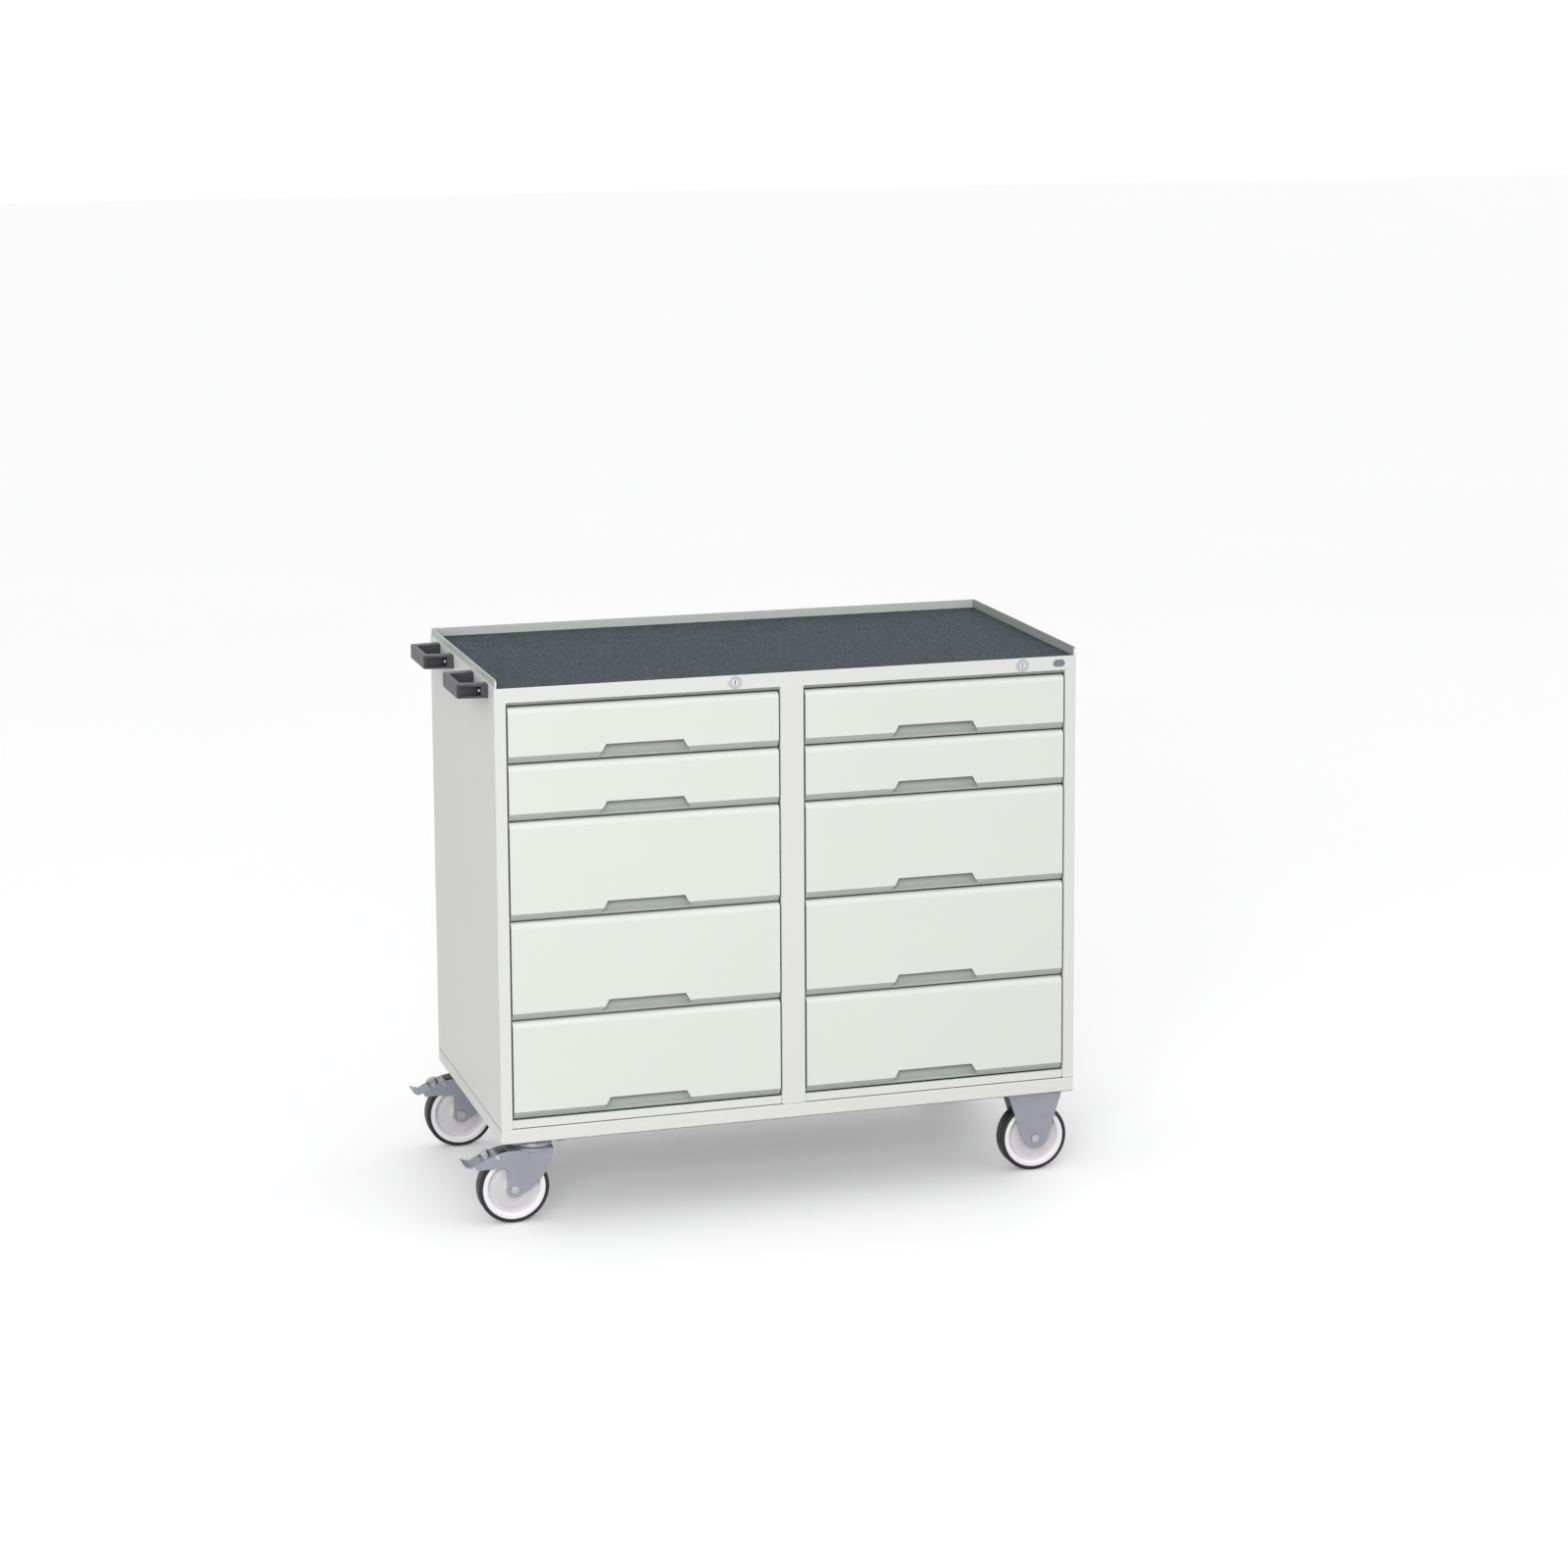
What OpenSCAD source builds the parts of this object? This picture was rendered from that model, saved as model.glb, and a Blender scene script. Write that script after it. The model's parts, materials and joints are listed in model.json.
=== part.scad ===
// Mobile drawer bench: a sheet-steel cabinet with two columns of five drawers, a lipped tray
// top with a mat, two push handles, and four castors. The left pair swivels and has brakes.
// The origin is on the floor, under the middle of the whole object. The drawers open towards -Y.

/* [Cabinet] */
// Width of the cabinet
cab_w = 1050; // [950:10:1200]
// Depth of the cabinet
cab_d = 550; // [500:10:700]
// Height of the base's lower edge above the floor
base_clear = 150; // [150:1:156]
// Height of the base frame
base_h = 26.5; // [26:0.5:34]
// Thickness of the cabinet's sheet steel
sheet = 1.5; // [1.2:0.1:2]
// Width of each outer post, seen from the front
side_post_w = 20; // [18:1:26]
// Width of the centre post, seen from the front
mid_post_w = 42; // [40:1:60]

/* [Top] */
// Height of the tray's front face
tray_face_h = 25; // [25:1:30]
// Height of the lips above the front edge
lip_h = 15; // [10:1:25]
// Thickness of a folded lip
lip_t = 3; // [3:0.5:5]
// Thickness of the mat
mat_t = 3; // [2:0.5:5]

/* [Drawers] */
// Front heights from top to bottom, with half a gap above and below each
row_h = [100, 100, 175, 175, 175];
// Height of the rail below the lowest front
low_rail_h = 16; // [14:0.5:20]
// Height of the strip between the highest front and the tray
top_strip_h = 7.5; // [7.5:0.5:10]
// Gap between neighbouring fronts
row_gap = 2.8; // [2:0.1:4]
// Gap between a front and the post beside it
side_gap = 3; // [2:0.5:4]
// Thickness of a drawer front
front_t = 18; // [18:1:22]
// Depth of a drawer box
box_d = 500; // [420:10:500]
// Space between a drawer box and the post, which holds the slide
slide_w = 13; // [13:0.5:14]

/* [Grip] */
// Width of the grip recess at its upper edge
grip_top_w = 135; // [110:5:160]
// Width of the grip recess at its lower edge
grip_low_w = 165; // [130:5:200]
// Height of the grip recess
grip_h = 24.6; // [22:0.2:26]

/* [Locks] */
// Distance from the middle of a column to its lock
lock_offset = 161; // [120:1:170]
// Radius of the lock's front ring
lock_r = 11.5; // [10:0.5:12]
// Rise of the lock bar in a quarter turn of the plug
lock_lift = 8; // [7:0.5:8]

/* [Handles] */
// Middle of the front handle, along the depth
front_handle_y = -158; // [-165:1:-150]
// Middle of the rear handle, along the depth
rear_handle_y = 135; // [120:1:150]
// How far a handle stands out
handle_out = 52; // [45:1:55]
// Height of a handle's section
handle_h = 24; // [20:1:24]
// How far the handles' middle is below the tray's front edge
handle_drop = 11; // [11:0.5:14]

/* [Castors] */
// Distance from the middle of the cabinet to a castor plate's middle, along the width
castor_x = 460; // [440:1:465]
// Distance from the middle of the cabinet to a castor plate's middle, along the depth
castor_y = 232; // [200:1:232]
// Radius of a tyre
tyre_r = 62.5; // [62.5:0.1:62.5]
// Trail of a swivel castor's wheel behind its kingpin
trail = 38; // [36:1:40]

/* [Hidden] */
$fn = 48;
SIDES = [-1, 1];
ROWS = [0:len(row_h) - 1];
LAST = len(row_h) - 1;

half_w = cab_w / 2;
half_d = cab_d / 2;
face_y = -half_d;
side_bottom = base_clear + base_h;
floor_top = side_bottom + sheet;
rows_top = side_bottom + low_rail_h + total(row_h, len(row_h));
face_bottom = rows_top + top_strip_h;
top_z = face_bottom + tray_face_h;
seam_z = top_z + 4;
lip_top = top_z + lip_h;
tray_floor_z = top_z - mat_t;

opening_w = (cab_w - 2 * side_post_w - mid_post_w) / 2;
col_x = mid_post_w / 2 + opening_w / 2;
return_d = 25;

front_w = opening_w - 2 * side_gap;
bevel_h = 12;
bevel_in = 7.5;
crown_h = 11.5;
crown_in = 11;
box_w = opening_w - 2 * slide_w;
box_lift = 12;
box_y0 = face_y + front_t;
box_y1 = box_y0 + box_d;
box_lip = 6;

rail_y0 = face_y + 35;
rail_y1 = box_y1 + 7;
rail_foot = 4;
rail_h = 26;
rail_depth = 11;
upright_d = side_post_w - sheet;

axle_z = tyre_r;
axle_r = 6;
run = 0.05;
plate_top = base_clear + 6;
plate_z = plate_top - 4;
plate_x = 105;
plate_y = 80;
bolt_dx = 40;
bolt_dy = 30;
bolt_r = 4;
bolt_hole_r = 4.2;
bolt_head_r = 7.5;
bolt_head_h = 5.3;
bolt_nut_h = 6.5;
leg_in = 18;
leg_out = 21;
race_low = 135.5;
crown_low = 130;
crown_top = 133;
eye_r = 14;
joggle = 1.4;
pin_r = 3;
screw_r = 3;
handle_screw_y = 60;
pedal_pin = [-30, 123];
pedal_reach = 88;
pedal_low = [-66, 112.3];
pedal_high = [-33, 126.8];
pedal_slope = atan2(pedal_high[1] - pedal_low[1], pedal_high[0] - pedal_low[0]);
fork_span = 2 * (trail + plate_x);

handle_z = top_z - handle_drop;
lock_z = top_z - tray_face_h / 2;
plug_r = 5.5;
barrel_r = 7.5;
proud = 1.6;
crank_r = lock_lift / sqrt(2);
crank_at = crank_r / sqrt(2);
crank_pin_r = 1.6;

// The swivel castors' pedals reach further out than the right side does, so the cabinet
// stands off the middle of the whole object by half the difference.
cab_x = (castor_x + trail + pedal_reach - half_w) / 2;

function total(v, n) = n == 0 ? 0 : v[n - 1] + total(v, n - 1);
function row_low(i) = rows_top - total(row_h, i + 1);
function box_low(i) = row_low(i) + box_lift;
function box_h(i) = row_h[i] - 37;
function mirrored(points) = concat(points, [for (i = [len(points) - 1:-1:0]) [points[i][0], -points[i][1]]]);

// A block between two limits on each axis
module block(x, y, z) {
    translate([x[0], y[0], z[0]]) cube([x[1] - x[0], y[1] - y[0], z[1] - z[0]]);
}

// An outline of depth and height, extruded along the width
module along_x(w) {
    translate([-w / 2, 0, 0]) rotate([90, 0, 90]) linear_extrude(w) children();
}

// An outline of width and height, extruded along the depth
module along_y(t) {
    translate([0, t / 2, 0]) rotate([90, 0, 0]) linear_extrude(t) children();
}

// A round bar along the depth, from y0 to y1
module bar_y(r, y0, y1) {
    translate([0, y1, 0]) rotate([90, 0, 0]) cylinder(r = r, h = y1 - y0);
}

// A round bar along the width, from x0 to x1
module bar_x(r, x0, x1) {
    translate([x0, 0, 0]) rotate([0, 90, 0]) cylinder(r = r, h = x1 - x0);
}

// ---- Cabinet shell ----

module side_panel_shape() {
    // outer wall, which stops behind the tray's front face
    block([half_w - sheet, half_w], [face_y, half_d], [side_bottom, face_bottom]);
    block([half_w - sheet, half_w], [face_y + sheet, half_d], [face_bottom, seam_z]);
    // front post: a flange and its return
    block([half_w - side_post_w, half_w], [face_y, face_y + sheet], [side_bottom, face_bottom]);
    block([half_w - side_post_w, half_w - side_post_w + sheet], [face_y, face_y + return_d],
          [floor_top, face_bottom]);
    // rear flange
    block([half_w - 15, half_w], [half_d - sheet, half_d], [side_bottom, seam_z]);
}

module right_side_panel() {
    color("gainsboro") translate([cab_x, 0, 0]) side_panel_shape();
}

module left_side_panel() {
    color("gainsboro") translate([cab_x, 0, 0]) difference() {
        mirror([1, 0, 0]) side_panel_shape();
        for (y = [front_handle_y, rear_handle_y], s = SIDES)
            translate([0, y + s * handle_screw_y, handle_z]) bar_x(screw_r + run, -half_w - 1, -half_w + 3);
    }
}

rivet_x = half_w - 24;
rivet_z = [for (i = [0:4]) side_bottom + 40 + i * (seam_z - side_bottom - 80) / 4];

module back_panel() {
    edge = half_w - 15.3;
    color("gainsboro") translate([cab_x, 0, 0]) difference() {
        union() {
            block([-edge, edge], [half_d - sheet, half_d], [floor_top + 0.3, seam_z]);
            for (s = SIDES)
                block([min(s * edge, s * (edge - sheet)), max(s * edge, s * (edge - sheet))],
                      [half_d - 12, half_d], [floor_top + 0.3, face_bottom - 0.5]);
        }
        for (s = SIDES, z = rivet_z)
            translate([s * rivet_x, 0, z]) bar_y(2.1, half_d - 3, half_d + 1);
    }
}

module centre_post() {
    wall = mid_post_w / 2;
    rear = half_d - 12.5;
    color("gainsboro") translate([cab_x, 0, 0]) {
        block([-wall, wall], [face_y, face_y + sheet], [side_bottom, face_bottom]);
        for (s = SIDES) {
            x = s > 0 ? [wall - sheet, wall] : [-wall, -wall + sheet];
            block(x, [face_y, rear], [floor_top, face_bottom]);
            block(x, [face_y + sheet, rear], [face_bottom, tray_floor_z - sheet]);
        }
    }
}

module floor_panel() {
    setback = 4;
    color("gainsboro") translate([cab_x, 0, 0]) {
        block([-half_w + sheet, half_w - sheet], [face_y + setback + 3, half_d - sheet],
              [side_bottom, floor_top]);
        for (s = SIDES) {
            // front rail of a column: an upstand with a return behind it
            translate([s * col_x, 0, 0]) {
                block([-opening_w / 2 + 0.3, opening_w / 2 - 0.3],
                      [face_y + setback, face_y + setback + sheet], [side_bottom, row_low(LAST) - row_gap / 2]);
                block([-opening_w / 2 + 0.3, opening_w / 2 - 0.3], [face_y + setback, face_y + setback + 8],
                      [row_low(LAST) - row_gap / 2 - sheet, row_low(LAST) - row_gap / 2]);
                block([-opening_w / 2 + 0.3, opening_w / 2 - 0.3], [face_y + setback, face_y + setback + 8],
                      [side_bottom, floor_top]);
            }
        }
    }
}

module top_tray() {
    skirt = half_w - sheet;
    corner = 5;
    lip_low = face_bottom;
    drip_in = 7;
    drip_h = 6;
    color("gainsboro") translate([cab_x, 0, 0]) difference() {
        union() {
            block([-skirt, skirt], [face_y, half_d - sheet - lip_t], [tray_floor_z - sheet, tray_floor_z]);
            block([-half_w, half_w], [face_y, face_y + sheet], [face_bottom, top_z]);
            // side lips, with a rounded front corner
            for (s = SIDES)
                translate([s * (skirt - lip_t / 2), 0, 0]) along_x(lip_t) {
                    polygon([[face_y + sheet, lip_low], [half_d - sheet, lip_low], [half_d - sheet, lip_top],
                             [face_y + corner, lip_top], [face_y, lip_top - corner], [face_y, top_z],
                             [face_y + sheet, top_z]]);
                    translate([face_y + corner, lip_top - corner]) circle(corner);
                }
            block([-skirt, skirt], [half_d - sheet - lip_t, half_d - sheet], [lip_low, lip_top]);
            // sloped drip edge under the front face, above each column
            for (s = SIDES)
                translate([s * col_x, 0, 0]) along_x(opening_w - 0.6)
                    polygon([[face_y, face_bottom], [face_y + drip_in, face_bottom - drip_h],
                             [face_y + drip_in + 4, face_bottom - drip_h],
                             [face_y + drip_in + 4, face_bottom - drip_h + sheet],
                             [face_y + drip_in + 0.6, face_bottom - drip_h + sheet],
                             [face_y + sheet, face_bottom + 1]]);
        }
        for (s = SIDES)
            translate([s * col_x + lock_offset, 0, lock_z]) bar_y(barrel_r + run, face_y - 1, face_y + 3);
        for (y = [front_handle_y, rear_handle_y], s = SIDES)
            translate([0, y + s * handle_screw_y, handle_z]) bar_x(screw_r + run, -half_w, -half_w + 6);
    }
}

module top_mat() {
    color("slategray") translate([cab_x, 0, 0])
        block([-half_w + sheet + lip_t + 0.5, half_w - sheet - lip_t - 0.5],
              [face_y + sheet + 0.5, half_d - sheet - lip_t - 0.5], [tray_floor_z, top_z]);
}

module base_frame() {
    wall = 2;
    flange = 6;
    shelf = 30;
    seam = 1.2;
    color("gainsboro") translate([cab_x, 0, 0]) difference() {
        // the outside is turned in at the bottom, and leaves a groove under the side panels
        hull() {
            block([-half_w, half_w], [-half_d, half_d], [base_clear + wall, side_bottom - seam]);
            block([-half_w + wall, half_w - wall], [-half_d + wall, half_d - wall], [base_clear, side_bottom - 5]);
            block([-half_w + seam, half_w - seam], [-half_d + seam, half_d - seam],
                  [base_clear + 5, side_bottom]);
        }
        block([-half_w + wall, half_w - wall], [-half_d + wall, half_d - wall],
              [base_clear + wall, side_bottom - wall]);
        block([-half_w + flange, half_w - flange], [-half_d + flange, half_d - flange],
              [base_clear - 1, base_clear + wall + 1]);
        block([-half_w + shelf, half_w - shelf], [-half_d + shelf, half_d - shelf],
              [side_bottom - wall - 1, side_bottom + 1]);
    }
}

module castor_crossmembers() {
    half_x = 60;
    edge_t = 3;
    long = half_d - 2;
    color("darkgray") translate([cab_x, 0, 0]) for (s = SIDES) translate([s * castor_x, 0, 0]) difference() {
        union() {
            block([-half_x, half_x], [-long, long], [plate_top, plate_top + 4]);
            for (t = SIDES)
                block(t > 0 ? [half_x - edge_t, half_x] : [-half_x, -half_x + edge_t], [-long, long],
                      [plate_top, side_bottom - 2]);
        }
        castor_bolt_places() translate([0, 0, plate_top - 1]) cylinder(r = bolt_hole_r, h = 8);
    }
}

// The four bolt places of both castors on one crossmember
module castor_bolt_places() {
    for (y = SIDES, dx = SIDES, dy = SIDES)
        translate([dx * bolt_dx, y * castor_y + dy * bolt_dy, 0]) children();
}

module castor_bolts() {
    color("lightsteelblue") translate([cab_x, 0, 0]) for (s = SIDES) translate([s * castor_x, 0, 0])
        castor_bolt_places() {
            translate([0, 0, plate_z - bolt_head_h]) cylinder(r = bolt_head_r, h = bolt_head_h, $fn = 6);
            translate([0, 0, plate_z - 1]) cylinder(r = bolt_r, h = 15);
            translate([0, 0, plate_top + 4]) cylinder(r = bolt_head_r, h = bolt_nut_h, $fn = 6);
        }
}

// ---- Drawer slides ----

module runner_uprights() {
    width = 40;
    color("lightgray") translate([cab_x, 0, 0]) for (s = SIDES, y = [rail_y0, rail_y1 - 70]) {
        web = half_w - side_post_w;
        x = s > 0 ? [web, web + sheet] : [-web - sheet, -web];
        deep = s > 0 ? [web, half_w - sheet] : [-half_w + sheet, -web];
        block(x, [y, y + width], [floor_top, rows_top]);
        block(deep, [y, y + sheet], [floor_top, rows_top]);
        block(deep, [y + width - sheet, y + width], [floor_top, rows_top]);
    }
}

// One fixed rail on the right-hand side of a column, with the roller at its front end
module rail(i) {
    wall = opening_w / 2;
    low = box_low(i) + rail_foot;
    block([wall - sheet, wall], [rail_y0, rail_y1], [low, low + rail_h]);
    block([wall - rail_depth, wall], [rail_y0, rail_y1], [low, low + sheet]);
    block([wall - rail_depth, wall], [rail_y0, rail_y1], [low + rail_h - sheet, low + rail_h]);
    translate([0, rail_y0 + 5, low + 6]) bar_x(5.6, wall - 10, wall - sheet + 0.1);
}

module column_rails() {
    color("silver") translate([cab_x, 0, 0]) for (c = SIDES, i = ROWS)
        translate([c * col_x, 0, 0]) {
            rail(i);
            mirror([1, 0, 0]) rail(i);
        }
}

// ---- Drawers ----

// Side view of a drawer front, as [distance behind its face, height], with its skin inset by d
function front_outline(h, d, back) = concat(
    [[back, d], [bevel_in + d, d], [d, bevel_h + d / 2], [d, h - crown_h]],
    [for (a = [9:9:90]) [d + crown_in * (1 - cos(a)), h - crown_h + (crown_h - d) * sin(a)]],
    [[back, h - d]]);

// Side view of the grip's hollow, grown by d
function scoop(d) = concat(
    [[d - 1, grip_h + d]],
    [for (a = [80:-10:-80]) [4 + (11.5 + d) * cos(a), grip_h - 11.1 + (11.8 + d) * sin(a)]],
    [[d - 1, 1.7 - d]]);

module grip_form(d) {
    intersection() {
        along_x(grip_low_w + 20) polygon(scoop(d));
        translate([0, front_t / 2, 0]) along_y(2 * front_t)
            polygon([[-grip_low_w / 2 - d, -1], [grip_low_w / 2 + d, -1],
                     [grip_top_w / 2 + d, grip_h + 1.5], [-grip_top_w / 2 - d, grip_h + 1.5]]);
    }
}

// The form of one drawer front: a folded pan, open at the back, with the grip pressed into it
module front_form(h) {
    difference() {
        union() {
            difference() {
                along_x(front_w) polygon(front_outline(h, 0, front_t));
                along_x(front_w - 2 * sheet) polygon(front_outline(h, sheet, front_t + 1));
            }
            intersection() {
                grip_form(sheet);
                along_x(front_w - 1) polygon(front_outline(h, 0.1, front_t));
            }
        }
        grip_form(0);
    }
}

module drawer_front(side, i) {
    color("whitesmoke") translate([cab_x + side * col_x, face_y, row_low(i) + row_gap / 2])
        front_form(row_h[i] - row_gap);
}

module drawer_box(side, i) {
    half = box_w / 2;
    h = box_h(i);
    color("lightgray") translate([cab_x + side * col_x, 0, box_low(i)]) {
        difference() {
            block([-half, half], [box_y0, box_y1], [0, h]);
            block([-half + sheet, half - sheet], [box_y0 + sheet, box_y1 - sheet], [sheet, h - sheet]);
            block([-half + box_lip, half - box_lip], [box_y0 + box_lip, box_y1 - box_lip], [h - 3, h + 1]);
        }
        for (s = SIDES) mirror([s > 0 ? 0 : 1, 0, 0]) {
            // inner runner: a web with a flange that rides on the front roller
            block([half, half + sheet], [rail_y0, box_y1], [8, 26]);
            block([half, half + 10], [rail_y0, box_y1 - 26], [16, 17.5]);
            translate([0, box_y1 - 12, 17]) bar_x(11.2, half, half + 10);
        }
        // catch that the lock bar's tab stops
        block([half, half + 8], [rail_y0 - 3, rail_y0 + 2], [31, 39]);
    }
}

// ---- Locks ----

module lock_barrels() {
    color("silver") translate([cab_x, 0, 0]) for (s = SIDES)
        translate([s * col_x + lock_offset, 0, lock_z]) difference() {
            union() {
                bar_y(lock_r, face_y - proud, face_y);
                bar_y(barrel_r, face_y, face_y + 24);
            }
            bar_y(plug_r + run, face_y - proud - 1, face_y + 25);
        }
}

// The plug carries a crank pin, which starts low on the left and goes up as the key turns
module lock_plug(side) {
    color("silver") translate([cab_x + side * col_x + lock_offset, 0, lock_z]) {
        difference() {
            bar_y(plug_r, face_y - 1, face_y + 25);
            block([-0.7, 0.7], [face_y - 2, face_y + 5], [-3.6, 3.6]);
        }
        bar_y(7.4, face_y + 25, face_y + 27.7);
        translate([-crank_at, 0, -crank_at]) bar_y(crank_pin_r, face_y + 27.7, face_y + 31);
    }
}

// A flat bar beside the column, with an arm that the crank pin lifts and one tab for each drawer.
// A tab is below its drawer's catch, and in front of it once the bar is lifted.
module lock_bar(side) {
    outer = opening_w / 2 - 0.2;
    tab_low = 23.5;
    tab_h = 6;
    bar_y_limits = [face_y + 19, face_y + 31];
    arm_top = tray_floor_z - sheet - 0.5 - lock_lift;
    slot_z = lock_z - crank_at;
    slot_half = crank_pin_r + 0.4;
    color("darkgray") translate([cab_x + side * col_x, 0, 0]) {
        block([outer - 1.6, outer], bar_y_limits, [box_low(LAST) + tab_low - 2, arm_top]);
        for (i = ROWS)
            block([outer - 10, outer], bar_y_limits, [box_low(i) + tab_low, box_low(i) + tab_low + tab_h]);
        difference() {
            block([lock_offset - crank_r - 4, outer], [face_y + 28.2, face_y + 29.7], [slot_z - 4, arm_top]);
            block([lock_offset - crank_r - slot_half, lock_offset - crank_at + slot_half],
                  [face_y, face_y + 40], [slot_z - slot_half, slot_z + slot_half]);
        }
    }
}

// A blank oval plate on the tray's front face
module blank_plate() {
    long = 22;
    tall = 13;
    color("silver") translate([cab_x + half_w - 32, 0, lock_z]) {
        block([-(long - tall) / 2, (long - tall) / 2], [face_y - 0.8, face_y], [-tall / 2, tall / 2]);
        for (s = SIDES) translate([s * (long - tall) / 2, 0, 0]) bar_y(tall / 2, face_y - 0.8, face_y);
    }
}

// ---- Handles ----

handle_foot = 12;
handle_half = 70.5;

// A bow handle that stands out towards -X, with a screw pocket in the outer face of each leg
module push_handle(y) {
    out = handle_out;
    color("dimgray") translate([cab_x - half_w, y, handle_z]) difference() {
        translate([0, 0, -handle_h / 2]) linear_extrude(handle_h) difference() {
            polygon([[0, -handle_half], [-out + 4, -64.5], [-out, -60], [-out, 60], [-out + 4, 64.5],
                     [0, handle_half]]);
            polygon([[1, -49], [-out + 13, -46], [-out + 8, -41], [-out + 8, 41], [-out + 13, 46], [1, 49]]);
        }
        for (s = SIDES) {
            translate([0, 0, -8]) linear_extrude(16)
                polygon([[-handle_foot, s * 72], [-handle_foot, s * 53.5], [-out + 5, s * 60.5],
                         [-out + 5, s * 72]]);
            translate([0, s * handle_screw_y, 0]) bar_x(screw_r + run, -handle_foot - 1, 1);
        }
    }
}

module panel_fasteners() {
    color("silver") translate([cab_x, 0, 0]) {
        // handle screws, with their nuts inside the tray's side lip
        for (y = [front_handle_y, rear_handle_y], s = SIDES)
            translate([-half_w, y + s * handle_screw_y, handle_z]) {
                bar_x(screw_r, -handle_foot - 1, sheet + lip_t + 3);
                bar_x(5, -handle_foot - 4, -handle_foot);
                translate([sheet + lip_t, 0, 0]) rotate([0, 90, 0]) cylinder(r = 5.5, h = 2, $fn = 6);
            }
        // rivets of the back panel
        for (s = SIDES, z = rivet_z)
            translate([s * rivet_x, 0, z]) {
                bar_y(2, half_d - 3, half_d);
                translate([0, half_d, 0]) rotate([-90, 0, 0])
                    rotate_extrude() polygon([[0, 0], [4, 0], [3.6, 0.8], [2.4, 1.35], [0, proud]]);
            }
    }
}

// ---- Castors ----

module castor_plate() {
    difference() {
        block([-plate_x / 2, plate_x / 2], [-plate_y / 2, plate_y / 2], [plate_z, plate_top]);
        for (dx = SIDES, dy = SIDES)
            translate([dx * bolt_dx, dy * bolt_dy, plate_z - 1]) cylinder(r = bolt_hole_r, h = 6);
    }
}

module swivel_castor_plates() {
    color("lightsteelblue") translate([cab_x - castor_x, 0, 0]) for (s = SIDES)
        translate([0, s * castor_y, 0]) {
            castor_plate();
            rotate_extrude() polygon([[0, plate_z], [25, plate_z], [29, 147], [32, 142.5], [32, 138],
                                      [29.5, race_low], [0, race_low]]);
            translate([0, 0, crown_low - 0.5]) cylinder(r = axle_r, h = 8);
            translate([0, 0, crown_low - 7.5]) cylinder(r = 9.5, h = 7, $fn = 6);
        }
}

// Front view of a fork's outside, with its upper corners bent to a radius
module fork_section() {
    bend = 5;
    translate([-leg_out, 0]) square([2 * leg_out, crown_top - bend]);
    hull() for (s = SIDES) translate([s * (leg_out - bend), crown_top - bend]) circle(bend);
}

// Plan of a pressed leg on side s: beyond x = at, the sheet is stepped sideways
module leg_plan(s, at, step) {
    polygon([[-90, s * leg_in], [at, s * leg_in], [at + 3, s * (leg_in + step)], [90, s * (leg_in + step)],
             [90, s * (leg_out + step)], [at + 3, s * (leg_out + step)], [at, s * leg_out],
             [-90, s * leg_out]]);
}

// A swivel fork's leg, as [distance from the axle along the width, height]: the axle eye, the
// slanted blade, and the ear that carries the brake pedal
module swivel_leg() {
    fillet = 5;
    polygon([[-13, 57], [-13, 102], [-66, 102], [-71, 110], [-60, 115.5], [-48, 121], [-36, 126],
             [-23, 129.8], [-8, 132], [8, 133], [69, 133], [69, 124], [66, 111], [61, 97.5], [52, 85],
             [41, 73.5], [29, 62], [14, 55]]);
    difference() {
        translate([-13 - fillet, 102 - fillet]) square(fillet);
        translate([-13 - fillet, 102 - fillet]) circle(fillet);
    }
    translate([0, axle_z]) circle(eye_r);
}

module swivel_fork(y) {
    color("lightsteelblue") translate([cab_x - castor_x, y, 0]) difference() {
        union() {
            intersection() {
                union() {
                    translate([-trail, 0, 0]) for (s = SIDES) intersection() {
                        along_y(2 * leg_out) swivel_leg();
                        linear_extrude(crown_top) leg_plan(s, 24, -joggle);
                    }
                    block([-trail - 12, 69 - trail], [-leg_out, leg_out], [crown_low, crown_top]);
                }
                // the sheet is bent over from crown to leg
                along_x(fork_span) fork_section();
            }
            translate([0, 0, crown_low]) cylinder(r = 31, h = race_low - 0.5 - crown_low);
        }
        translate([0, 0, crown_low - 1]) cylinder(r = axle_r + run, h = 8);
        translate([-trail, 0, axle_z]) bar_y(axle_r + run, -leg_out - 1, leg_out + 1);
        translate([pedal_pin[0] - trail, 0, pedal_pin[1]]) bar_y(pin_r + run, -leg_out - 1, leg_out + 1);
    }
}

// A wheel axle with a round head on the outer side of the cabinet and a nut on the other.
// reach is the distance from its middle to the outside of a leg.
module wheel_axle(out, reach) {
    bar_y(axle_r, -reach, reach);
    mirror([0, out > 0 ? 0 : 1, 0]) {
        bar_y(7, reach, reach + 2.6);
        translate([0, -reach, 0]) rotate([90, 0, 0]) cylinder(r = 9, h = 5, $fn = 6);
    }
}

module swivel_axles(y) {
    color("silver") translate([cab_x - castor_x - trail, y, 0]) {
        translate([0, 0, axle_z]) wheel_axle(y, leg_out);
        translate([pedal_pin[0], 0, pedal_pin[1]]) {
            bar_y(pin_r, -leg_out, leg_out);
            for (s = SIDES) bar_y(4.5, s > 0 ? leg_out : -leg_out - 1.8, s > 0 ? leg_out + 1.8 : -leg_out);
        }
    }
}

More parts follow.
